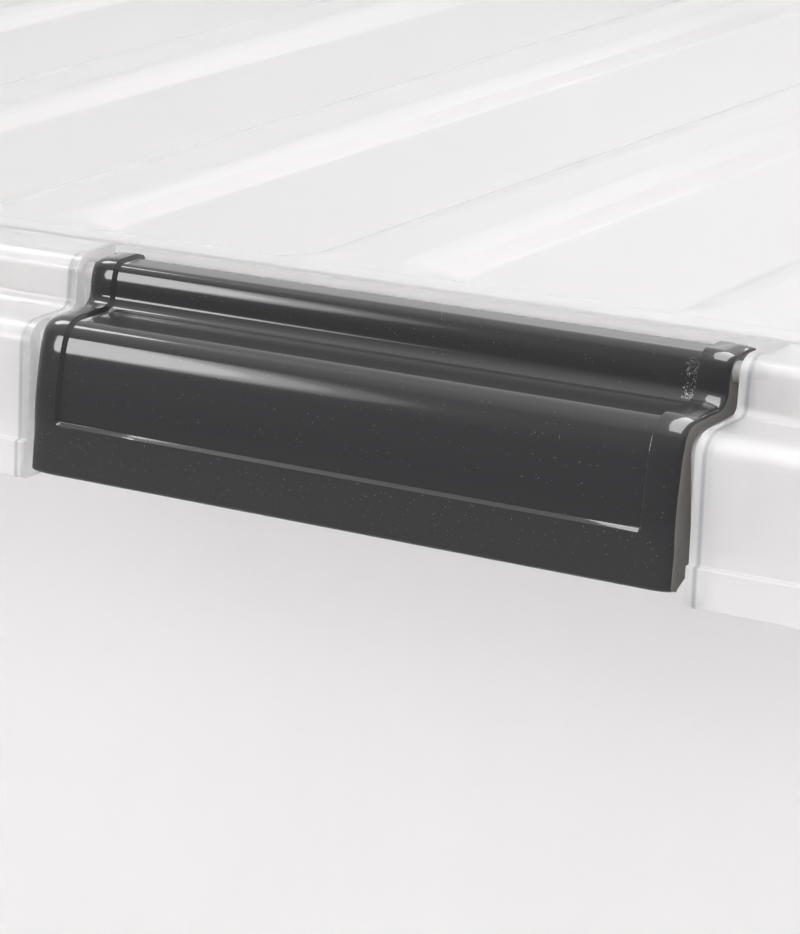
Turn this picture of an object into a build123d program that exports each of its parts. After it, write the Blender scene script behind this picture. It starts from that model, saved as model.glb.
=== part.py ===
from build123d import *

import os
from math import cos, hypot, radians, sqrt, tan

# Clear storage box with a lift-off lid that four dark buckles hold down, two on each long side.
# Millimetres and degrees. X runs along the long sides, Y from front to back, +Z up.
# The origin is the centre of the base, on the surface that the box stands on.
# A section is drawn as (inset, height): inset is the distance inward from the foot of the lid's skirt.

# Whole box
box_length = 620.0
box_width = 420.0
box_height = 300.0
corner_radius = 60.0

# Lid's skirt, ledge and riser
lid_wall = 2.0
skirt_height = 42.2
skirt_lean = 6.0
bead_height = 7.8
bead_step = 1.1
bead_edge_radius = 0.8
bead_corner_radius = 0.4
ledge_drop = 10.6
skirt_shoulder_radius = 5.0
cove_radius = 2.5
riser_lean = 9.0
rim_shoulder_radius = 3.9

# Lid's flat rim and the deck set down inside it
rim_width = 42.4
rim_edge_radius = 1.8
deck_drop = 2.2
deck_step_run = 0.8
deck_lap = 3.0
deck_border = 6.0
rib_pitch = 90.0
rib_top_width = 21.0
panel_flank_width = 9.0
panel_drop = 3.0
panel_corner_radius = 14.0
panel_floor_radius = 6.0
panel_edge_radius = 24.0
panel_foot_radius = 6.0
lid_root_radius = 0.6
lid_bend_radius = 0.3

# Locating ring under the lid's rim
ring_wall = 1.8
ring_depth_in_mouth = 3.0
ring_clearance = 0.6
ring_foot_radius = 0.5

# Box body
box_wall = 2.2
wall_inset = 32.2
wall_draft = 2.5
base_radius = 10.0
floor_wall = 2.4
foot_height = 2.0
foot_width = 14.0
foot_recess_radius = 8.0
lip_inset = 8.2
lip_height = 21.1
lip_shoulder_radius = 3.6
lip_edge_radius = 0.6
gusset_wall = 1.6
gusset_spacing = 172.0
gusset_depth = 14.0
gusset_lip_clearance = 5.0
gusset_toe_width = 2.0

# Buckles and their hinges
latch_width = 150.0
latch_spacing = 240.0
latch_height = 40.2
latch_wall = 2.4
latch_proud = 0.6
latch_face_bow_height = 14.0
latch_face_bow_inset = 0.15
latch_face_bow_radius = 60.0
latch_face_top_inset = 4.6
latch_ledge_drop = 8.7
latch_shoulder_radius = 5.5
latch_corner_radius = 1.2
latch_end_radius = 0.9
hinge_inset = 24.0
pin_radius = 2.1
pin_clearance = 0.07
pin_past_wall = 0.5
pin_end_clearance = 0.4
snap_slot_width = 3.4
notch_wall = 2.6
notch_wall_lip_clearance = 0.5
notch_wall_rim_clearance = 0.3
notch_wall_foot_radius = 0.5
latch_side_gap = 2.6
tail_flat_length = 4.9
tail_length = 7.8
tail_drop = 1.1
tail_radius = 6.0
tail_swing_clearance = 0.5

# Inward run of the back's corners at three turns of the section, as shares of the depth
tail_end_share = 0.3
tail_start_share = 0.2
face_top_share = 0.8

# Shallow panel sunk in the face of each buckle
face_panel_depth = 0.9
face_panel_end_border = 6.9
face_panel_foot_border = 9.6

# Hook and ribs behind the face of each buckle
hook_clearance = 0.35
hook_engagement = 1.6
hook_height = 2.9
hook_foot_radius = 0.6
hook_edge_radius = 0.4
latch_rib_wall = 1.6
latch_rib_count = 5
latch_end_wall = 2.6
latch_rib_lip_clearance = 0.8
latch_rib_rim_clearance = 0.7
latch_rib_root_length = 1.8
latch_rib_root_radius = 1.0
latch_rib_tail_setback = 0.9

# How far a cut runs past the faces it opens, and how far a face may lie off its height
cut_margin = 1.0
tolerance = 0.01

# Heights and insets that follow from the sizes above
skirt_foot = box_height - skirt_height
bead_top = skirt_foot + bead_height
ledge_height = box_height - ledge_drop
rim_top = ledge_height - lid_wall
deck_height = box_height - deck_drop
hinge_height = box_height - rim_shoulder_radius
lip_foot = rim_top - lip_height
latch_foot = box_height - latch_height
latch_ledge = box_height - latch_ledge_drop
ring_inset = wall_inset + box_wall + ring_clearance
latch_half_notch = latch_width / 2 + latch_side_gap
notch_depth = hinge_inset + hypot(tail_length, box_height - tail_drop - hinge_height) + tail_swing_clearance


def lean_run(height, angle):
    """Horizontal run of a face that leans by the angle from upright, over the height."""
    return height * tan(radians(angle))


def riser_inset(height, behind=0.0):
    """Inset of the riser at a height. It touches the round centred on the hinge; behind goes into the wall."""
    slant = cos(radians(riser_lean))
    return hinge_inset - (rim_shoulder_radius - behind) / slant + lean_run(height - hinge_height, riser_lean)


def outline_edges(corners, closed=True):
    """Straight runs joined by tangent arcs through (x, y, radius) corners."""
    arcs = []
    for index, (x, y, radius) in enumerate(corners):
        corner = Vector(x, y)
        if radius == 0:
            arcs.append((corner, corner, corner))
            continue
        before = (Vector(*corners[index - 1][:2]) - corner).normalized()
        after = (Vector(*corners[(index + 1) % len(corners)][:2]) - corner).normalized()
        half_cosine = sqrt((1 + before.dot(after)) / 2)
        half_sine = sqrt((1 - before.dot(after)) / 2)
        reach = radius * half_cosine / half_sine
        middle = corner + (before + after).normalized() * (radius / half_sine - radius)
        arcs.append((corner + before * reach, middle, corner + after * reach))
    with BuildLine() as path:
        for index, (start, middle, end) in enumerate(arcs):
            if start != end:
                ThreePointArc(start, middle, end)
            if closed or index + 1 < len(arcs):
                Line(end, arcs[(index + 1) % len(arcs)][0])
    return path.edges()


def draw_outline(corners):
    """Fill the closed outline through (x, y, radius) corners."""
    make_face(outline_edges(corners))


def rim_sides():
    """Front, right, back and left side of the rim: section plane, half the straight run, corner's centre."""
    sides = []
    for quarter in range(4):
        outward = Vector(0, -1, 0).rotate(Axis.Z, 90 * quarter)
        along = Vector(1, 0, 0).rotate(Axis.Z, 90 * quarter)
        half_across = (box_width if quarter % 2 == 0 else box_length) / 2
        half_along = (box_length if quarter % 2 == 0 else box_width) / 2 - corner_radius
        plane = Plane(origin=outward * half_across, x_dir=outward * -1, z_dir=along)
        centre = outward * (half_across - corner_radius) + along * half_along
        sides.append((plane, half_along, centre))
    return sides


def add_rim(corners):
    """Carry a section round the box: along the four sides and round the four corners."""
    runs = []
    for plane, half_along, centre in rim_sides():
        with BuildSketch(plane) as straight:
            draw_outline(corners)
        runs.append(extrude(straight.sketch, amount=half_along, both=True, mode=Mode.PRIVATE))
        with BuildSketch(plane.offset(half_along)) as turn:
            draw_outline(corners)
        corner_axis = Axis(centre, (0, 0, 1))
        runs.append(revolve(turn.sketch, axis=corner_axis, revolution_arc=90, mode=Mode.PRIVATE))
    add(runs)


def draw_plan(inset):
    """Rounded rectangle of the box in plan, at an inset from the lid's foot."""
    RectangleRounded(box_length - 2 * inset, box_width - 2 * inset, corner_radius - inset)


# Corners of the lid's outer face, from the foot of the skirt up to the start of the flat rim
lid_face = [
    (0.0, skirt_foot, bead_edge_radius),
    (lean_run(bead_height, skirt_lean), bead_top, bead_corner_radius),
    (lean_run(bead_height, skirt_lean) + bead_step, bead_top, bead_corner_radius),
    (lean_run(ledge_height - skirt_foot, skirt_lean) + bead_step, ledge_height, skirt_shoulder_radius),
    (riser_inset(ledge_height), ledge_height, cove_radius),
    (riser_inset(box_height), box_height, rim_shoulder_radius),
]

# Corners of the lid's inner face, from the deck back to the foot of the skirt
skirt_inner_top = lid_face[3][0] + lid_wall / cos(radians(skirt_lean))
skirt_inner_foot = skirt_inner_top - lean_run(rim_top - skirt_foot, skirt_lean)
ring_foot = rim_top - ring_depth_in_mouth
lid_rim_section = lid_face + [
    (rim_width, box_height, rim_edge_radius),
    (rim_width + deck_step_run, deck_height, rim_edge_radius),
    (rim_width + deck_step_run + deck_lap, deck_height, 0.0),
    (rim_width + deck_step_run + deck_lap, deck_height - lid_wall, 0.0),
    (rim_width - lid_wall + deck_step_run, deck_height - lid_wall, lid_root_radius),
    (rim_width - lid_wall, box_height - lid_wall, lid_bend_radius),
    (ring_inset + ring_wall, box_height - lid_wall, lid_root_radius),
    (ring_inset + ring_wall, ring_foot, ring_foot_radius),
    (ring_inset, ring_foot, ring_foot_radius),
    (ring_inset, box_height - lid_wall, lid_root_radius),
    (riser_inset(box_height - lid_wall, lid_wall), box_height - lid_wall, rim_shoulder_radius - lid_wall),
    (riser_inset(rim_top, lid_wall), rim_top, lid_bend_radius),
    (skirt_inner_top, rim_top, skirt_shoulder_radius - lid_wall),
    (skirt_inner_foot, skirt_foot, bead_edge_radius),
]

# Side wall of a notch: the lid's face outside, clear of the box's lip and rim inside, back to the locating ring
notch_wall_section = lid_face + [
    (ring_inset + ring_wall / 2, box_height, 0.0),
    (ring_inset + ring_wall / 2, rim_top + notch_wall_rim_clearance, 0.0),
    (lip_inset - notch_wall_lip_clearance, rim_top + notch_wall_rim_clearance, 0.0),
    (lip_inset - notch_wall_lip_clearance, skirt_foot, notch_wall_foot_radius),
]

# Panels of the deck, as many as fit between the rims
deck_inset = rim_width + deck_step_run + deck_border
panel_width = rib_pitch - rib_top_width
panel_length = box_width - 2 * deck_inset
panel_count = int((box_length - 2 * deck_inset + rib_top_width) // rib_pitch)

latch_centres = [side * latch_spacing / 2 for side in (-1, 1)]
long_side_planes = [plane for plane, half_along, centre in rim_sides()[::2]]


def add_panel_forms(top, mode):
    """Tapered form of every deck panel, from the height of its upper edge down to its floor."""
    with BuildSketch(Plane.XY.offset(top)) as upper:
        with GridLocations(rib_pitch, 0, panel_count, 1):
            RectangleRounded(panel_width, panel_length, panel_corner_radius)
    with BuildSketch(Plane.XY.offset(top - panel_drop)) as lower:
        with GridLocations(rib_pitch, 0, panel_count, 1):
            RectangleRounded(
                panel_width - 2 * panel_flank_width, panel_length - 2 * panel_flank_width, panel_floor_radius
            )
    faces = zip(upper.sketch.faces().sort_by(Axis.X), lower.sketch.faces().sort_by(Axis.X))
    forms = [loft([top_face, floor_face], ruled=True, mode=Mode.PRIVATE) for top_face, floor_face in faces]
    add(forms, mode=mode)


def on_panel_edge(edge, height):
    """Whether an edge of the lid lies flat at a height, inside the deck's border."""
    box = edge.bounding_box()
    level = box.max.Z - box.min.Z < tolerance and abs(box.max.Z - height) < tolerance
    half_deck_length = box_length / 2 - deck_inset + tolerance
    half_deck_width = box_width / 2 - deck_inset + tolerance
    return level and box.max.X < half_deck_length > -box.min.X and box.max.Y < half_deck_width > -box.min.Y


with BuildPart() as lid:
    add_rim(lid_rim_section)
    with BuildSketch(Plane.XY.offset(deck_height)):
        draw_plan(rim_width + deck_step_run + deck_lap / 2)
    extrude(amount=-lid_wall)
    add_panel_forms(deck_height - lid_wall, Mode.ADD)
    add_panel_forms(deck_height, Mode.SUBTRACT)
    # The ribs between the panels are broad rounds, and the panels' floors turn up in tight ones
    for height, radius in (
        (deck_height, panel_edge_radius),
        (deck_height - lid_wall, panel_edge_radius - lid_wall),
        (deck_height - panel_drop, panel_foot_radius),
        (deck_height - panel_drop - lid_wall, panel_foot_radius),
    ):
        fillet([edge for edge in lid.edges() if on_panel_edge(edge, height)], radius=radius)

    # Notches for the buckles, through the skirt, ledge, riser and rim, as deep as the swing of the buckles' tails
    notches = []
    for plane in long_side_planes:
        for latch_centre in latch_centres:
            with BuildSketch(plane.offset(latch_centre)) as notch:
                with Locations((notch_depth, box_height + cut_margin)):
                    Rectangle(
                        notch_depth + cut_margin, skirt_height + 2 * cut_margin, align=(Align.MAX, Align.MAX)
                    )
            notches.append(extrude(notch.sketch, amount=latch_half_notch, both=True, mode=Mode.PRIVATE))
    add(notches, mode=Mode.SUBTRACT)

    # Side walls of the notches, with a slot that the buckle's pin passes when it snaps in from below
    notch_walls = []
    for plane in long_side_planes:
        for latch_centre in latch_centres:
            for start in (latch_centre - latch_half_notch - notch_wall, latch_centre + latch_half_notch):
                with BuildSketch(plane.offset(start)) as notch_end:
                    draw_outline(notch_wall_section)
                    with Locations((hinge_inset, hinge_height)):
                        Rectangle(
                            snap_slot_width,
                            hinge_height - rim_top,
                            align=(Align.CENTER, Align.MAX),
                            mode=Mode.SUBTRACT,
                        )
                notch_walls.append(extrude(notch_end.sketch, amount=notch_wall, mode=Mode.PRIVATE))
    add(notch_walls)

    # Holes for the buckles' pins, a little longer than the pins
    pin_holes = []
    pin_reach = latch_half_notch + notch_wall + pin_past_wall
    for plane in long_side_planes:
        for latch_centre in latch_centres:
            with BuildSketch(plane.offset(latch_centre)) as pin_hole:
                with Locations((hinge_inset, hinge_height)):
                    Circle(pin_radius + pin_clearance)
            hole_reach = pin_reach + pin_end_clearance
            pin_holes.append(extrude(pin_hole.sketch, amount=hole_reach, both=True, mode=Mode.PRIVATE))
    add(pin_holes, mode=Mode.SUBTRACT)

# Rim of the box body: a flat top that carries the lid, and a lip that turns down outside it
box_rim_section = [
    (lip_inset, lip_foot, lip_edge_radius),
    (lip_inset, rim_top, lip_shoulder_radius),
    (wall_inset + box_wall / 2, rim_top, 0.0),
    (wall_inset + box_wall / 2, rim_top - box_wall, 0.0),
    (lip_inset + box_wall, rim_top - box_wall, lip_shoulder_radius - box_wall),
    (lip_inset + box_wall, lip_foot, lip_edge_radius),
]

# Gusset between the lip and the wall
gusset_section = [
    (lip_inset + box_wall / 2, rim_top - box_wall / 2, 0.0),
    (lip_inset + box_wall / 2, lip_foot + gusset_lip_clearance, 0.0),
    (lip_inset + box_wall + gusset_toe_width, lip_foot + gusset_lip_clearance, 0.0),
    (wall_inset + box_wall / 2, rim_top - box_wall - gusset_depth, 0.0),
    (wall_inset + box_wall / 2, rim_top - box_wall / 2, 0.0),
]
gusset_places = [centre + side * gusset_spacing / 2 for centre in latch_centres for side in (-1, 1)]


def add_tub(inset, floor, edge_radius, mode):
    """Tub that narrows from the rim down to its floor, with its lower edge rounded."""
    foot_inset = inset + lean_run(rim_top - floor, wall_draft)
    with BuildPart(mode=Mode.PRIVATE) as tub:
        with BuildSketch(Plane.XY.offset(rim_top)):
            draw_plan(inset)
        with BuildSketch(Plane.XY.offset(floor)):
            draw_plan(foot_inset)
        loft(ruled=True)
        fillet(tub.faces().sort_by(Axis.Z)[0].edges(), radius=edge_radius)
    add(tub.part, mode=mode)


recess_inset = wall_inset + lean_run(rim_top, wall_draft) + base_radius + foot_width
with BuildPart() as box_body:
    add_tub(wall_inset, 0.0, base_radius, Mode.ADD)
    add_rim(box_rim_section)
    add_tub(wall_inset + box_wall, foot_height + floor_wall, base_radius - box_wall, Mode.SUBTRACT)
    with BuildSketch(Plane.XY):
        RectangleRounded(box_length - 2 * recess_inset, box_width - 2 * recess_inset, foot_recess_radius)
    extrude(amount=foot_height, mode=Mode.SUBTRACT)
    gussets = []
    for plane in long_side_planes:
        for place in gusset_places:
            with BuildSketch(plane.offset(place)) as gusset:
                draw_outline(gusset_section)
            gussets.append(extrude(gusset.sketch, amount=gusset_wall / 2, both=True, mode=Mode.PRIVATE))
    add(gussets)

# Face of a buckle in section: a bowed lower face, a ledge, the riser and the round about the hinge, and a short tail
latch_face = [
    (-latch_proud, latch_foot, latch_corner_radius),
    (latch_face_bow_inset, latch_foot + latch_face_bow_height, latch_face_bow_radius),
    (latch_face_top_inset, latch_ledge, latch_shoulder_radius),
    (riser_inset(latch_ledge), latch_ledge, cove_radius),
    (riser_inset(box_height), box_height, rim_shoulder_radius),
    (hinge_inset + tail_flat_length, box_height, tail_radius),
    (hinge_inset + tail_length, box_height - tail_drop, latch_corner_radius),
]


def latch_back(depth):
    """Corners of the face moved into the buckle by a depth, from the tail back to the foot."""
    face_foot, face_bow, face_top, cove, shoulder, tail_start, tail_end = latch_face
    return [
        (tail_end[0] - tail_end_share * depth, tail_end[1] - depth, 0.0),
        (tail_start[0] - tail_start_share * depth, box_height - depth, tail_radius - depth),
        (riser_inset(box_height - depth, depth), box_height - depth, rim_shoulder_radius - depth),
        (riser_inset(latch_ledge - depth, depth), latch_ledge - depth, cove_radius + depth),
        (face_top[0] + face_top_share * depth, latch_ledge - depth, latch_shoulder_radius - depth),
        (face_bow[0] + depth, face_bow[1], latch_face_bow_radius - depth),
        (face_foot[0] + depth, latch_foot, 0.0),
    ]


# The hook's upper face lies on a circle about the hinge that just clears the lip's outer corner
hook_reach = hypot(hinge_inset - lip_inset, hinge_height - lip_foot) + hook_clearance
hook_tip = lip_inset + hook_engagement
hook_heel = lip_inset - latch_rib_lip_clearance


def hook_top(inset):
    """Height of the hook's upper face at an inset."""
    return hinge_height - sqrt(hook_reach**2 - (hinge_inset - inset) ** 2)


hook_section = [
    (latch_face_bow_inset + latch_wall / 2, hook_top(hook_tip) - hook_height, 0.0),
    (hook_tip, hook_top(hook_tip) - hook_height, hook_foot_radius),
    (hook_tip, hook_top(hook_tip), hook_edge_radius),
    (hook_heel, hook_top(hook_heel), 0.0),
    (latch_face_bow_inset + latch_wall / 2, hook_top(hook_heel), 0.0),
]

# Ribs and end walls behind the face: clear of the lip and rim of the box, and short enough to turn about the hinge
rib_floor = rim_top + latch_rib_rim_clearance
latch_rib_section = latch_face + [
    (hinge_inset + tail_length - latch_rib_tail_setback, box_height - tail_drop - latch_wall, 0.0),
    (hinge_inset + latch_rib_root_length, rib_floor, latch_rib_root_radius),
    (hook_heel, rib_floor, lip_shoulder_radius + latch_rib_rim_clearance),
    (hook_heel, latch_foot + hook_height, 0.0),
    (latch_face_bow_inset + latch_wall, latch_foot, 0.0),
]
face_panel_width = latch_width - 2 * face_panel_end_border
rib_step = (latch_width - latch_end_wall) / (latch_rib_count + 1)


def sharp_ends(corners):
    """The same corners with no radius at the first and the last."""
    return [(*corners[0][:2], 0.0), *corners[1:-1], (*corners[-1][:2], 0.0)]


def flat_point(plane, point):
    """Where a point lies in the section, as a vertex."""
    local = plane.to_local_coords(point)
    return Vertex(local.X, local.Y, 0)


def make_latch():
    """One buckle on the front side, centred on X = 0."""
    plane = rim_sides()[0][0]
    with BuildPart() as latch:
        with BuildSketch(plane):
            draw_outline(latch_face + latch_back(latch_wall))
        extrude(amount=latch_width / 2, both=True)
        with BuildSketch(plane):
            draw_outline(hook_section)
        extrude(amount=latch_width / 2, both=True)
        for number in range(-(latch_rib_count // 2), latch_rib_count // 2 + 1):
            with BuildSketch(plane.offset(number * rib_step - latch_rib_wall / 2)):
                draw_outline(latch_rib_section)
            extrude(amount=latch_rib_wall)
        for start in (-latch_width / 2, latch_width / 2 - latch_end_wall):
            with BuildSketch(plane.offset(start)):
                draw_outline(latch_rib_section)
            extrude(amount=latch_end_wall)

        # Round the long edges of both ends, where they lie on the outer face
        face_line = Wire(outline_edges(sharp_ends(latch_face), closed=False))
        end_edges = [
            edge
            for end in (latch.faces().sort_by(Axis.X)[0], latch.faces().sort_by(Axis.X)[-1])
            for edge in end.edges()
            if face_line.distance_to(flat_point(plane, edge @ 0.5)) < latch_wall / 4
        ]
        fillet(end_edges, radius=latch_end_radius)

        # Shallow panel that follows the whole face, from a border above the foot up over the tail
        with BuildSketch(plane.offset(-face_panel_width / 2)):
            draw_outline(latch_back(face_panel_depth) + latch_back(-face_panel_depth)[::-1])
            with Locations((-latch_proud, latch_foot)):
                Rectangle(4 * latch_wall, 2 * face_panel_foot_border, mode=Mode.SUBTRACT)
        extrude(amount=face_panel_width, mode=Mode.SUBTRACT)

        # Hinge pins
        for side in (-1, 1):
            with BuildSketch(plane.offset(side * latch_width / 2)):
                with Locations((hinge_inset, hinge_height)):
                    Circle(pin_radius)
            extrude(amount=side * (latch_side_gap + notch_wall + pin_past_wall))
    return latch.part


latch_shape = make_latch()
latch_places = {
    "latch_front_left": Location((-latch_spacing / 2, 0, 0)),
    "latch_front_right": Location((latch_spacing / 2, 0, 0)),
    "latch_back_left": Location((-latch_spacing / 2, 0, 0), (0, 0, 180)),
    "latch_back_right": Location((latch_spacing / 2, 0, 0), (0, 0, 180)),
}

os.makedirs("parts", exist_ok=True)
lid.part.label = "lid"
export_step(lid.part, "parts/lid.step")
box_body.part.label = "box_body"
export_step(box_body.part, "parts/box_body.step")
for name, place in latch_places.items():
    latch = latch_shape.moved(place)
    latch.label = name
    export_step(latch, f"parts/{name}.step")
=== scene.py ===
import math

import bmesh
import bpy
import numpy as np
from mathutils import Matrix


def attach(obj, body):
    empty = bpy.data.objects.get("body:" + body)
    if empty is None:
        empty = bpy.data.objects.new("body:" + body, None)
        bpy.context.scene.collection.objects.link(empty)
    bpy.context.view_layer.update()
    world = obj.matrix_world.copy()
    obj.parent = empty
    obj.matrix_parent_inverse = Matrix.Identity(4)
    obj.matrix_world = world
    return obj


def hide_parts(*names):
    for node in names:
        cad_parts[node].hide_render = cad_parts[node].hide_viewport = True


# Storage box of natural polypropylene with charcoal buckles. Metres, in the frame of the CAD part.

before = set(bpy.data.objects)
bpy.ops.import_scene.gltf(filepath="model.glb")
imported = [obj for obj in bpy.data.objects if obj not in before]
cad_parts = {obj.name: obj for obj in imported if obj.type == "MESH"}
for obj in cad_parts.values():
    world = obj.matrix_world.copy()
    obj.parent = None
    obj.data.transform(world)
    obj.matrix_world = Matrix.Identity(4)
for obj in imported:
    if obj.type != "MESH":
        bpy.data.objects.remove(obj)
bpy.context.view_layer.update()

MM = 0.001

# Sizes in millimetres. A buckle's section is drawn as (inset, height): inset is the distance inward from the foot of
# the lid's skirt, which is 210 mm from the middle of the box.
SIDE_FACE = 210.0
LATCH_WIDTH = 150.0
LATCH_PITCH = 240.0
HINGE = (24.0, 296.1)
PIN_RADIUS = 2.1
PIN_LENGTH = 5.7
PIN_CHAMFER = 0.4

# Notch round a buckle, in the lid: the gap at each of the buckle's ends, the side wall past it, and the two insets
# between which the painted grey shade line of that wall fades out at the top of the riser
NOTCH_GAP = 2.6
NOTCH_WALL = 2.0
LINE_FADES = (22.0, 26.0)

# Corners of a buckle's face and of its back: (inset, height, radius)
FACE_CORNERS = [
    (1.9, 259.8, 0.0),
    (-0.6, 259.8, 1.2),
    (0.15, 273.8, 60.0),
    (3.11, 285.4, 22.0),
    (5.73, 291.3, 5.5),
    (19.29, 291.3, 2.5),
    (20.08, 296.3, 14.0),
    (21.8, 300.0, 3.2),
    (28.9, 300.0, 6.0),
    (31.8, 298.9, 1.2),
    (31.2, 297.0, 0.0),
]
BACK_CORNERS = [
    (31.08, 296.5, 0.0),
    (28.42, 297.6, 3.6),
    (22.7, 297.6, 1.5),
    (21.3, 288.9, 4.9),
    (6.52, 288.9, 3.1),
    (2.55, 273.8, 57.6),
    (2.1, 266.34, 0.0),
    (7.4, 266.34, 0.0),
    (9.8, 265.12, 0.4),
    (9.8, 262.22, 0.6),
    (1.95, 262.22, 0.0),
    (1.8, 260.2, 0.0),
]
# The ribs stand a hundredth of a millimetre proud of the hook, so that the two never share a point
RIB_CORNERS = [
    (30.9, 296.5, 0.0),
    (25.8, 288.1, 1.0),
    (7.41, 288.1, 4.3),
    (7.41, 266.35, 0.0),
    (9.81, 265.13, 0.4),
    (9.81, 262.21, 0.6),
    (6.6, 262.21, 0.0),
    (2.55, 260.1, 0.0),
]

# Sunk panel of a buckle's face, the rounding of its ends, and the walls behind it
PANEL_DEPTH = 0.9
PANEL_END_BORDER = 6.3
PANEL_FOOT_BORDER = 9.6
PANEL_SLOPE = 0.63
PANEL_CORNER = 1.2
END_ROUND_WIDTH = 5.5
END_ROUND_DEPTH = 1.5
END_STEP_WIDTH = 0.9
END_STEP = 0.15
CORNER_SHARE = 0.35
END_WALL = 2.6
RIB_WALL = 1.6
RIB_STEP = 24.567
# Grid of the face: its rows over a slope, how far they reach past it, its rows over an end, and half the distance
# between the two rows at which the back changes from thin wall to rib
SLOPE_ROWS = 12
SLOPE_MARGIN = 0.2
ROUND_ROWS = 13
HAIR = 1e-4
# Points of a 1 mm arc for each radian that it turns, and how many points the longer back gets beyond its own
ARC_POINTS = 7
SPARE_POINTS = 12

# Height of the box's rim, where the lid's ledge rests on it, and the air that the light crosses between the two
RIM_TOP = 287.4
AIR_GAP = 0.02

# Points nearer than this are one, in a new mesh and in a copy of a CAD mesh, and the edges of a new mesh that turn by
# more than this angle stay sharp
DOUBLE_DISTANCE = 0.002
CAD_DOUBLE_DISTANCE = 0.001
SHARP_ANGLE = 35.0


def linear(hex_colour):
    """sRGB hex colour as linear red, green, blue and alpha: each share is undone by the sRGB curve."""
    shares = np.array([int(hex_colour[i:i + 2], 16) for i in (1, 3, 5)]) / 255
    curve = np.where(shares <= 0.04045, shares / 12.92, ((shares + 0.055) / 1.055) ** 2.4)
    return (*curve.tolist(), 1.0)


def add(tree, kind, settings=None, inputs=None):
    """Adds a node to a tree, with its settings and its inputs, each a value, an output or a node's first output."""
    node = tree.nodes.new(kind)
    for name, value in (settings or {}).items():
        setattr(node, name, value)
    for name, value in (inputs or {}).items():
        if isinstance(value, bpy.types.Node):
            value = value.outputs[0]
        if isinstance(value, bpy.types.NodeSocket):
            tree.links.new(value, node.inputs[name])
        else:
            node.inputs[name].default_value = value
    return node


def new_material(name):
    """Empty node material."""
    material = bpy.data.materials.new(name)
    material.use_nodes = True
    material.node_tree.nodes.clear()
    return material, material.node_tree


def pattern_scale(size):
    """Scale at which a noise or a Voronoi repeats about every so many millimetres: one over that size in metres."""
    return 1 / (size * MM)


def notch_wall_shade(tree, place):
    """Base colour of the lid with painted shade where a notch's side wall meets its skin: that edge-on wall passes less
    light, and a soft grey line is painted into the colour to stand for it. Its share falls over 0.75 mm with the
    distance of |X| from the wall's inner side, on both sides of the notch's middle, and it ends at the top of the
    riser."""
    wall_inside = LATCH_WIDTH / 2 + NOTCH_GAP + NOTCH_WALL
    point = add(tree, "ShaderNodeSeparateXYZ", inputs={"Vector": place})
    away = point.outputs["X"]
    for distance in (0.0, LATCH_PITCH / 2 * MM, wall_inside * MM):
        away = add(tree, "ShaderNodeMath", {"operation": "SUBTRACT"}, {0: away, 1: distance})
        away = add(tree, "ShaderNodeMath", {"operation": "ABSOLUTE"}, {0: away})
    line = add(tree, "ShaderNodeMapRange", {"interpolation_type": "SMOOTHSTEP"}, {
        "Value": away, "From Min": 0.75 * MM, "From Max": 0.1 * MM})
    across = add(tree, "ShaderNodeMath", {"operation": "ABSOLUTE"}, {0: point.outputs["Y"]})
    full, gone = LINE_FADES
    in_border = add(tree, "ShaderNodeMapRange", inputs={
        "Value": across, "From Min": (SIDE_FACE - gone) * MM, "From Max": (SIDE_FACE - full) * MM})
    share = add(tree, "ShaderNodeMath", {"operation": "MULTIPLY"}, {0: line, 1: in_border})
    # Painted shade: the grey mixed into the white by that share
    return add(tree, "ShaderNodeMix", {"data_type": "RGBA"}, {
        "Factor": share, 6: linear("#FFFEFE"), 7: linear("#BEC1C6")}).outputs[2]


def natural_polypropylene(name, clearness, least_haze, most_haze, with_painted_notch_shade=False):
    """Natural polypropylene, injection moulded in a polished tool: milky, because its crystals scatter light, with a
    clean gloss on the surface. The gloss is the coat, and the haze is the rough body under it."""
    material, tree = new_material(name)
    place = add(tree, "ShaderNodeTexCoord").outputs["Object"]
    # Flow of the melt: broad waves about 45 mm apart, too shallow to feel
    flow = add(tree, "ShaderNodeTexNoise", inputs={
        "Vector": place, "Scale": pattern_scale(45), "Detail": 1.5, "Roughness": 0.45})
    waves = add(tree, "ShaderNodeBump", inputs={"Height": flow, "Strength": 0.35, "Distance": 0.4 * MM})
    # Cloudy haze, about 120 mm across
    cloud = add(tree, "ShaderNodeTexNoise", inputs={"Vector": place, "Scale": pattern_scale(120), "Detail": 2.0})
    haze = add(tree, "ShaderNodeMapRange", inputs={"Value": cloud, "To Min": least_haze, "To Max": most_haze})
    # Base colour: on the lid, a painted grey shade line along each notch's side wall, elsewhere plain white
    shader = add(tree, "ShaderNodeBsdfPrincipled", inputs={
        "Base Color": notch_wall_shade(tree, place) if with_painted_notch_shade else linear("#FFFEFE"),
        "Roughness": haze,
        "IOR": 1.49,
        "Transmission Weight": clearness,
        "Normal": waves,
        "Coat Weight": 0.25,
        "Coat Roughness": 0.16,
        "Coat IOR": 1.49,
        "Coat Normal": waves,
    })
    add(tree, "ShaderNodeOutputMaterial", inputs={"Surface": shader})
    return material


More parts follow.
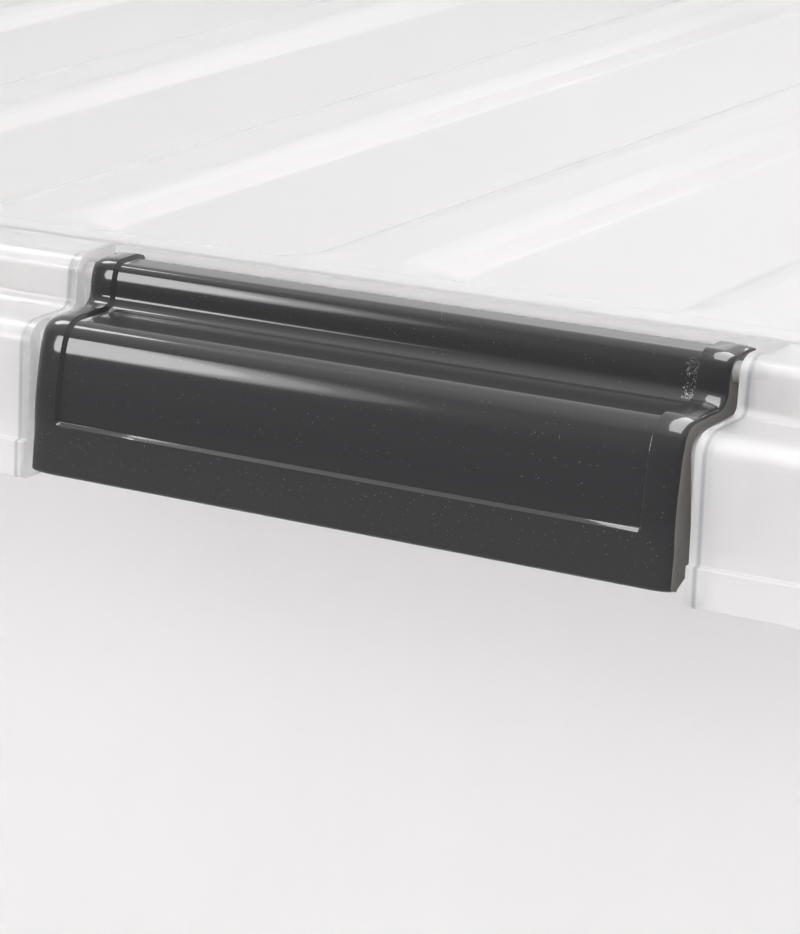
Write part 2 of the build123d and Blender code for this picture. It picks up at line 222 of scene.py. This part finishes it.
def charcoal_polypropylene():
    """Charcoal polypropylene, injection moulded: a polished face with a soft haze under its gloss, matt grey end faces
    where the tool parts, and dust that shows at a low angle."""
    material, tree = new_material("charcoal_polypropylene")
    coordinates = add(tree, "ShaderNodeTexCoord")
    place = coordinates.outputs["Object"]
    facing = add(tree, "ShaderNodeSeparateXYZ", inputs={"Vector": coordinates.outputs["Normal"]})
    sideways = add(tree, "ShaderNodeMath", {"operation": "ABSOLUTE"}, {0: facing.outputs["X"]})
    end_face = add(tree, "ShaderNodeMapRange", inputs={"Value": sideways, "From Min": 0.93, "From Max": 0.99})
    # Grains of dust, 0.2 mm wide and 1 mm apart, each of its own paleness. Real ones are finer, and are drawn at a
    # size that shows.
    grains = add(tree, "ShaderNodeTexVoronoi", inputs={"Vector": place, "Scale": pattern_scale(1), "Randomness": 1.0})
    speck = add(tree, "ShaderNodeMapRange", inputs={
        "Value": grains.outputs["Distance"], "From Min": 0.06, "From Max": 0.13, "To Min": 1.0, "To Max": 0.0})
    paleness = add(tree, "ShaderNodeMapRange", inputs={
        "Value": grains.outputs["Color"], "From Min": 0.4, "From Max": 1.0, "To Min": 0.0, "To Max": 0.6})
    dust = add(tree, "ShaderNodeMath", {"operation": "MULTIPLY"}, {0: speck, 1: paleness})
    # Orange peel of the gloss, 0.7 mm across and 2 thousandths of a millimetre high
    peel = add(tree, "ShaderNodeTexNoise", inputs={"Vector": place, "Scale": pattern_scale(0.7), "Detail": 1.0})
    skin = add(tree, "ShaderNodeBump", inputs={"Height": peel, "Strength": 0.5, "Distance": 0.004 * MM})
    # Pitted gloss on the riser, 187.2 mm from the middle of the box, where its sunk panel ends: the melt met there last
    spot = add(tree, "ShaderNodeSeparateXYZ", inputs={"Vector": place})
    along = add(tree, "ShaderNodeMath", {"operation": "ABSOLUTE"}, {0: spot.outputs["X"]})
    along = add(tree, "ShaderNodeMath", {"operation": "SUBTRACT"}, {0: along, 1: 187.2 * MM})
    along = add(tree, "ShaderNodeMath", {"operation": "ABSOLUTE"}, {0: along})
    near_end = add(tree, "ShaderNodeMapRange", inputs={"Value": along, "From Min": 2 * MM, "From Max": 0.4 * MM})
    on_riser = add(tree, "ShaderNodeMath", {"operation": "COMPARE"}, {
        0: spot.outputs["Z"], 1: 294.5 * MM, 2: 3.6 * MM})
    pitted = add(tree, "ShaderNodeMath", {"operation": "MULTIPLY"}, {0: near_end, 1: on_riser})
    pits = add(tree, "ShaderNodeTexNoise", inputs={"Vector": place, "Scale": pattern_scale(0.8), "Detail": 2.0})
    skin = add(tree, "ShaderNodeBump", inputs={
        "Height": pits, "Strength": pitted, "Distance": 0.35 * MM, "Normal": skin})
    face_colour = add(tree, "ShaderNodeMix", {"data_type": "RGBA"}, {
        "Factor": dust, 6: linear("#28282A"), 7: linear("#9C9C9A")})
    colour = add(tree, "ShaderNodeMix", {"data_type": "RGBA"}, {
        "Factor": end_face, 6: face_colour.outputs[2], 7: linear("#787572")})
    gloss = add(tree, "ShaderNodeMapRange", inputs={"Value": end_face, "To Min": 1.0, "To Max": 0.0})
    roughness = add(tree, "ShaderNodeMapRange", inputs={"Value": end_face, "To Min": 0.3, "To Max": 0.75})
    shader = add(tree, "ShaderNodeBsdfPrincipled", inputs={
        "Base Color": colour.outputs[2],
        "Roughness": roughness,
        "IOR": 1.49,
        "Specular IOR Level": 0.15,
        "Normal": skin,
        "Coat Weight": gloss,
        "Coat Roughness": 0.06,
        "Coat IOR": 1.5,
        "Coat Normal": skin,
        "Sheen Weight": 0.05,
        "Sheen Roughness": 0.4,
    })
    add(tree, "ShaderNodeOutputMaterial", inputs={"Surface": shader})
    return material


def floor_paint():
    """Matt pale floor, which gloss shows in a painted grey, as dark as the unlit end of the studio."""
    material, tree = new_material("pale_floor")
    path = add(tree, "ShaderNodeLightPath")
    # Painted shade in reflections: for mirrored rays the floor is painted grey instead of its pale colour
    mirrored = add(tree, "ShaderNodeMath", {"operation": "MULTIPLY"}, {
        0: path.outputs["Is Glossy Ray"], 1: path.outputs["Is Reflection Ray"]})
    paint = add(tree, "ShaderNodeMix", {"data_type": "RGBA"}, {
        "Factor": mirrored, 6: linear("#F6F6F6"), 7: linear("#8E8E8E")})
    shader = add(tree, "ShaderNodeBsdfPrincipled", inputs={"Base Color": paint.outputs[2], "Roughness": 0.9})
    add(tree, "ShaderNodeOutputMaterial", inputs={"Surface": shader})
    return material


def rounded_path(corners):
    """Path through (inset, height, radius) corners. Each corner with a radius becomes a tangent arc, whose points are
    the centre plus the radius times (cosine, sine) of evenly spaced angles; the runs between arcs stay straight. An
    arc has more points the further it turns, and with the root of its radius."""
    points = []
    spots = np.array([corner[:2] for corner in corners])
    for index, (_, _, radius) in enumerate(corners):
        spot = spots[index]
        if radius == 0 or index in (0, len(corners) - 1):
            points.append(spot[None])
            continue
        before = spots[index - 1] - spot
        after = spots[index + 1] - spot
        before /= np.linalg.norm(before)
        after /= np.linalg.norm(after)
        half_sine = math.sqrt((1 - before @ after) / 2)
        half_cosine = math.sqrt((1 + before @ after) / 2)
        toward = (before + after) / np.linalg.norm(before + after)
        centre = spot + toward * radius / half_sine
        start = spot + before * radius * half_cosine / half_sine - centre
        end = spot + after * radius * half_cosine / half_sine - centre
        first = math.atan2(start[1], start[0])
        turn = (math.atan2(end[1], end[0]) - first + math.pi) % (2 * math.pi) - math.pi
        count = max(4, int(abs(turn) * math.sqrt(radius) * ARC_POINTS))
        angles = first + turn * np.linspace(0, 1, count)
        points.append(centre + radius * np.column_stack([np.cos(angles), np.sin(angles)]))
    return np.concatenate(points)


def path_length(path):
    """Length along a path at each of its points: the running sum of the straight distances."""
    return np.concatenate([[0], np.cumsum(np.linalg.norm(np.diff(path, axis=0), axis=1))])


def with_points(path, lengths):
    """The same path with extra points at the given lengths along it, each on the straight between its neighbours."""
    length = path_length(path)
    every = np.sort(np.concatenate([length, lengths]))
    return np.column_stack([np.interp(every, length, path[:, axis]) for axis in (0, 1)])


def spread_lengths(path, count):
    """Evenly spaced lengths along a path, half a step in from both its ends."""
    return (np.arange(count) + 0.5) / count * path_length(path)[-1]


def inward_normals(path):
    """Unit normals to the right of travel: the central difference of the path, turned by a quarter."""
    along = np.gradient(path, axis=0)
    along /= np.linalg.norm(along, axis=1, keepdims=True)
    return np.column_stack([along[:, 1], -along[:, 0]])


def smooth_step(value, low, high):
    """0 below low, 1 above high, and the cubic 3t^2 - 2t^3 between, where t is the share of the way."""
    share = np.clip((value - low) / (high - low), 0, 1)
    return share * share * (3 - 2 * share)


def grid_faces(rows, columns):
    """Quads of a grid of points that is stored row by row and closed along its columns."""
    row, column = np.meshgrid(np.arange(rows - 1), np.arange(columns), indexing="ij")
    beside = (column + 1) % columns
    quads = np.stack([
        row * columns + column,
        (row + 1) * columns + column,
        (row + 1) * columns + beside,
        row * columns + beside,
    ], axis=-1)
    return quads.reshape(-1, 4)


def latch_shell():
    """Points and faces of a buckle without its pins, centred on X = 0 on the front side. Its closed section, the face
    and then the back, is carried along X. At each X the face moves in along its normal by the panel's depth times the
    distance inside the panel's rounded rectangle as a share of the slope's width, held between 0 and 1, plus the end
    rounding, a quarter of an ellipse: b - b sqrt(1 - t^2 / a^2), where t is the distance past its start, a its width
    and b its depth. The back changes from thin wall to rib at both sides of each rib, and each end face has a flat
    strip along the face and lies a step deeper behind it."""
    bare = rounded_path(FACE_CORNERS)
    bare_length = path_length(bare)
    bare_inward = inward_normals(bare)
    over_slope = np.linspace(-SLOPE_MARGIN, PANEL_SLOPE + SLOPE_MARGIN, SLOPE_ROWS)
    foot_line = bare_length[np.argmax(bare[:, 1] > FACE_CORNERS[0][1] + PANEL_FOOT_BORDER)]
    face = with_points(bare, foot_line + over_slope)
    length = path_length(face)
    inward = np.column_stack([np.interp(length, bare_length, bare_inward[:, axis]) for axis in (0, 1)])
    # At the tight corners of the foot and the tail the ends are rounded by a third as much
    from_tail = length[-1] - length
    after_foot = smooth_step(length, 0.0, 1.0), smooth_step(length, 3.3, 6.0)
    before_tail = smooth_step(from_tail, 0.0, 0.8), smooth_step(from_tail, 2.8, 7.0)
    held = np.minimum(*(CORNER_SHARE * first + (1 - CORNER_SHARE) * then for first, then in (after_foot, before_tail)))
    thin, ribbed = (rounded_path(corners) for corners in (BACK_CORNERS, RIB_CORNERS))
    count = max(len(thin), len(ribbed)) + SPARE_POINTS
    thin, ribbed = (with_points(path, spread_lengths(path, count - len(path))) for path in (thin, ribbed))

    half = LATCH_WIDTH / 2
    rib_places = np.arange(-2, 3) * RIB_STEP
    switches = np.concatenate([
        rib_places - RIB_WALL / 2, rib_places + RIB_WALL / 2, [END_WALL - half, half - END_WALL]])
    turn = half - END_ROUND_WIDTH + END_ROUND_WIDTH * np.sin(np.linspace(0, math.pi / 2, ROUND_ROWS))
    slope = half - PANEL_END_BORDER - over_slope
    across = np.sort(np.concatenate([switches - HAIR, switches + HAIR, slope, -slope, turn, -turn]))

    end_distance = np.abs(across)[:, None] - (half - PANEL_END_BORDER) + PANEL_CORNER
    foot_distance = foot_line - length[None, :] + PANEL_CORNER
    outside = np.hypot(np.maximum(end_distance, 0), np.maximum(foot_distance, 0))
    panel_distance = outside + np.minimum(np.maximum(end_distance, foot_distance), 0) - PANEL_CORNER
    past = np.clip((np.abs(across) - half) / END_ROUND_WIDTH + 1, 0, 1)[:, None]
    depth = PANEL_DEPTH * np.clip(-panel_distance / PANEL_SLOPE, 0, 1)
    depth = depth + END_ROUND_DEPTH * (1 - np.sqrt(1 - past**2)) * held

    is_rib = (np.abs(across[:, None] - rib_places) < RIB_WALL / 2).any(axis=1) | (np.abs(across) > half - END_WALL)
    back = np.where(is_rib[:, None, None], ribbed[None], thin[None])
    strip = (END_ROUND_DEPTH + END_STEP_WIDTH) * held
    deeper = strip + END_STEP * held
    place = np.concatenate([[END_STEP - half, -half], across, [half, half - END_STEP]])
    depth = np.concatenate([[deeper, strip], depth, [strip, deeper]])
    back = np.concatenate([[ribbed, ribbed], back, [ribbed, ribbed]])

    front = face[None] + inward[None] * depth[..., None]
    section = np.concatenate([front, back], axis=1)
    rows, columns = section.shape[:2]
    x = np.repeat(place[:, None], columns, axis=1)
    x[:, len(face):] = np.clip(x[:, len(face):], END_STEP - half, half - END_STEP)
    points = np.stack([x, section[..., 0] - SIDE_FACE, section[..., 1]], axis=-1).reshape(-1, 3)
    last = (rows - 1) * columns
    caps = [list(range(columns)), list(range(last + columns - 1, last - 1, -1))]
    return points, grid_faces(rows, columns).tolist() + caps


def pin(side, sides=32):
    """Points and faces of a hinge pin: a circle of the profile's radius at each place along X, with a small chamfer."""
    start = LATCH_WIDTH / 2 - END_WALL / 2
    end = LATCH_WIDTH / 2 + PIN_LENGTH
    place = np.array([start, start, end - PIN_CHAMFER, end, end])
    radius = np.array([0.0, PIN_RADIUS, PIN_RADIUS, PIN_RADIUS - PIN_CHAMFER, 0.0])
    angle = np.arange(sides) * 2 * math.pi / sides
    x = np.repeat(place[:, None], sides, axis=1)
    y = HINGE[0] - SIDE_FACE + radius[:, None] * np.cos(angle)
    z = HINGE[1] + radius[:, None] * np.sin(angle)
    points = np.stack([x * side, y, z], axis=-1).reshape(-1, 3)
    faces = grid_faces(len(place), sides)
    return points, faces[:, ::-1] if side > 0 else faces


def pin_pair():
    """Points and faces of a buckle's two pins, the left one's and then the right one's."""
    (left_points, left_faces), (right_points, right_faces) = pin(-1), pin(1)
    faces = np.concatenate([left_faces, right_faces + len(left_points)])
    return np.concatenate([left_points, right_points]), faces.tolist()


def merge_doubles(mesh, distance):
    """Merges the points of a mesh that are nearer than a distance in millimetres."""
    work = bmesh.new()
    work.from_mesh(mesh)
    bmesh.ops.remove_doubles(work, verts=work.verts, dist=distance * MM)
    work.to_mesh(mesh)
    work.free()


def new_object(name, mesh, material):
    """Object of a mesh, in the scene, of one material."""
    mesh.materials.clear()
    mesh.materials.append(material)
    obj = bpy.data.objects.new(name, mesh)
    bpy.context.scene.collection.objects.link(obj)
    return obj


def latch_piece(name, shape, centre, is_back, material):
    """A shape of a front buckle at its place: turned by half a turn about Z for the back side, then moved along X."""
    points, faces = shape
    if is_back:
        points = points * (-1, -1, 1)
    mesh = bpy.data.meshes.new(name)
    mesh.from_pydata(((points + (centre, 0, 0)) * MM).tolist(), [], faces)
    merge_doubles(mesh, DOUBLE_DISTANCE)
    mesh.shade_smooth()
    mesh.set_sharp_from_angle(angle=math.radians(SHARP_ANGLE))
    return new_object(name, mesh, material)


def lid_on_air(name, material):
    """Copy of the lid's CAD mesh, with its doubles merged and its normals kept. The points at the rim's height are
    raised by the air gap and the others stay as they are, so that light passes from one milky wall to the other
    through air, as it does between two mouldings that touch."""
    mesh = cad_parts["lid"].data.copy()
    normals = np.empty(len(mesh.loops) * 3)
    mesh.corner_normals.foreach_get("vector", normals)
    merge_doubles(mesh, CAD_DOUBLE_DISTANCE)
    points = np.empty(len(mesh.vertices) * 3)
    mesh.vertices.foreach_get("co", points)
    height = points[2::3]
    height[np.abs(height - RIM_TOP * MM) < AIR_GAP / 2 * MM] += AIR_GAP * MM
    mesh.vertices.foreach_set("co", points)
    mesh.normals_split_custom_set(normals.reshape(-1, 3).tolist())
    return new_object(name, mesh, material)


def stage_floor(half_size, drop):
    """Square floor about the origin, a little below the object's foot."""
    mesh = bpy.data.meshes.new("floor")
    corners = [(x * half_size, y * half_size, -drop) for x, y in ((-1, -1), (1, -1), (1, 1), (-1, 1))]
    mesh.from_pydata(corners, [], [(0, 1, 2, 3)])
    return new_object("floor", mesh, floor_paint())


def facing_pose(place, back, roll=0.0):
    """Pose of a camera or a lamp at a place, which looks against the back direction and is rolled about it."""
    back = np.asarray(back, float) / np.linalg.norm(back)
    right = np.cross((0, 0, 1), back)
    right /= np.linalg.norm(right)
    up = np.cross(back, right)
    rolled_right = right * math.cos(roll) + up * math.sin(roll)
    rolled_up = up * math.cos(roll) - right * math.sin(roll)
    turn = Matrix(np.column_stack([rolled_right, rolled_up, back]).tolist()).to_4x4()
    return Matrix.Translation(place) @ turn


def direction(bearing, rise):
    """Unit vector at a bearing from +X and a rise from level, in degrees."""
    bearing, rise = math.radians(bearing), math.radians(rise)
    return np.array([math.cos(bearing) * math.cos(rise), math.sin(bearing) * math.cos(rise), math.sin(rise)])


def add_camera():
    """Camera at the photograph's place, which was solved from the buckle's edges and the deck's ribs."""
    camera = bpy.data.cameras.new("camera")
    camera.lens = 144.4
    camera.sensor_width = 36
    camera.clip_end = 20
    obj = bpy.data.objects.new("camera", camera)
    place = (0.52245, -0.76385, 0.47948)
    obj.matrix_world = facing_pose(place, direction(bearing=-55.0874, rise=16.8509), roll=math.radians(-1.2438))
    bpy.context.scene.collection.objects.link(obj)
    bpy.context.scene.camera = obj


def add_lamp(name, aim, bearing, rise, distance, width, height, power, shape, only_in_gloss):
    """Soft lamp that faces a point, seen from it at a bearing and a rise. A lamp only in gloss is what the glossy
    surfaces mirror, and the others light the surfaces' own colour."""
    lamp = bpy.data.lights.new(name, "AREA")
    lamp.shape = shape
    lamp.size = width
    lamp.size_y = height
    lamp.energy = power
    obj = bpy.data.objects.new(name, lamp)
    obj.visible_glossy = only_in_gloss
    obj.visible_diffuse = obj.visible_transmission = not only_in_gloss
    back = direction(bearing, rise)
    obj.matrix_world = facing_pose(np.add(aim, distance * back).tolist(), back)
    bpy.context.scene.collection.objects.link(obj)


def softbox(name, aim, bearing, rise, distance, width, height, power, only_in_gloss=False):
    """Rectangular lamp."""
    add_lamp(name, aim, bearing, rise, distance, width, height, power, "RECTANGLE", only_in_gloss)


def round_lamp(name, aim, bearing, rise, diameter, power):
    """Round lamp 2.2 m away, which only gloss mirrors."""
    add_lamp(name, aim, bearing, rise, 2.2, diameter, diameter, power, "DISK", only_in_gloss=True)


def add_world():
    """World that lights softly, and shows pale to the camera, in gloss and through clear plastic. In gloss it is pale
    above and to the right, a little grey at the far left over the table, and grey low at the near end, which is
    unlit."""
    world = bpy.data.worlds.new("studio")
    world.use_nodes = True
    tree = world.node_tree
    tree.nodes.clear()
    path = add(tree, "ShaderNodeLightPath")
    toward = add(tree, "ShaderNodeSeparateXYZ", inputs={
        "Vector": add(tree, "ShaderNodeTexCoord").outputs["Generated"]})

    def rising(axis, none, full):
        """Share that goes smoothly from 0 to 1 as the ray's direction goes from none to full along an axis."""
        return add(tree, "ShaderNodeMapRange", {"interpolation_type": "SMOOTHSTEP"}, {
            "Value": toward.outputs[axis], "From Min": none, "From Max": full})

    def in_gloss(first, second):
        """Product of two shares, only for a mirrored ray."""
        both = add(tree, "ShaderNodeMath", {"operation": "MULTIPLY"}, {0: first, 1: second})
        return add(tree, "ShaderNodeMath", {"operation": "MULTIPLY"}, {0: both, 1: path.outputs["Is Reflection Ray"]})

    unlit_near_end = in_gloss(rising("Y", 0.1, -0.5), rising("Z", 0.75, 0.3))
    grey_far_left = in_gloss(rising("X", -0.42, -0.64), rising("Z", 0.1, 0.18))
    shown = add(tree, "ShaderNodeMix", {"data_type": "RGBA"}, {
        "Factor": grey_far_left, 6: linear("#F8F8F8"), 7: linear("#E0E0E0")})
    shown = add(tree, "ShaderNodeMix", {"data_type": "RGBA"}, {
        "Factor": unlit_near_end, 6: shown.outputs[2], 7: linear("#8A8A8A")})
    seen = add(tree, "ShaderNodeMath", {"operation": "MAXIMUM"}, {
        0: path.outputs["Is Camera Ray"], 1: path.outputs["Is Glossy Ray"]})
    seen = add(tree, "ShaderNodeMath", {"operation": "MAXIMUM"}, {0: seen, 1: path.outputs["Is Transmission Ray"]})
    light = add(tree, "ShaderNodeBackground", inputs={"Color": linear("#FFFFFF"), "Strength": 1.0})
    pale = add(tree, "ShaderNodeBackground", inputs={"Color": shown.outputs[2], "Strength": 1.0})
    mixed = add(tree, "ShaderNodeMixShader", inputs={0: seen, 1: light, 2: pale})
    add(tree, "ShaderNodeOutputWorld", inputs={"Surface": mixed})
    bpy.context.scene.world = world


# The lid is clearer than the body, as in the photograph
lid_clear = natural_polypropylene(
    "clear_polypropylene_lid", clearness=0.8, least_haze=0.26, most_haze=0.34, with_painted_notch_shade=True)
body_clear = natural_polypropylene("clear_polypropylene_body", clearness=0.58, least_haze=0.46, most_haze=0.54)
charcoal = charcoal_polypropylene()

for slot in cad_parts["box_body"].material_slots:
    slot.material = body_clear
lid = lid_on_air("lid_moulding", lid_clear)
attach(lid, "lid")
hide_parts("lid")
for is_back, side in ((False, "front"), (True, "back")):
    for left_or_right, end in ((-1, "left"), (1, "right")):
        node = f"latch_{side}_{end}"
        centre = left_or_right * LATCH_PITCH / 2
        buckle = latch_piece(f"buckle_{side}_{end}", latch_shell(), centre, is_back, charcoal)
        pins = latch_piece(f"pins_{side}_{end}", pin_pair(), centre, is_back, lid_clear)
        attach(buckle, node)
        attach(pins, node)
        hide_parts(node)

stage_floor(half_size=6.0, drop=0.1 * MM)
add_world()
add_camera()

box_top = (0.0, 0.0, 0.3)
photographed_latch = (0.12, -0.21, 0.29)
softbox("key_softbox", (0.0, 0.0, 0.25), bearing=-110, rise=55, distance=2.2, width=1.6, height=1.6, power=24)
softbox("overhead_softbox", np.add(box_top, (0.13, 0, 0)), bearing=-90, rise=89.9, distance=1.0, width=0.6, height=1.9,
        power=26, only_in_gloss=True)
# Three round lamps side by side make the streak on the face, bright at the left and faint to the right
round_lamp("left_softbox", photographed_latch, bearing=-134.5, rise=18.2, diameter=0.42, power=2.2)
round_lamp("left_glow", photographed_latch, bearing=-133, rise=18.4, diameter=0.44, power=1.5)
round_lamp("left_faint_glow", photographed_latch, bearing=-131.5, rise=18.6, diameter=0.46, power=0.8)
# The panel's lower edge mirrors this one
round_lamp("high_left_softbox", photographed_latch, bearing=174, rise=44, diameter=0.6, power=7.5)
round_lamp("back_softbox", np.add(box_top, (0.05, 0, 0)), bearing=119, rise=26, diameter=0.54, power=0.4)

scene = bpy.context.scene
scene.view_settings.view_transform = "Standard"
# Light goes through many milky walls, and bounces inside them, before it reaches the eye
scene.cycles.max_bounces = 32
scene.cycles.transmission_bounces = 32
scene.cycles.glossy_bounces = 24
scene.cycles.diffuse_bounces = 16
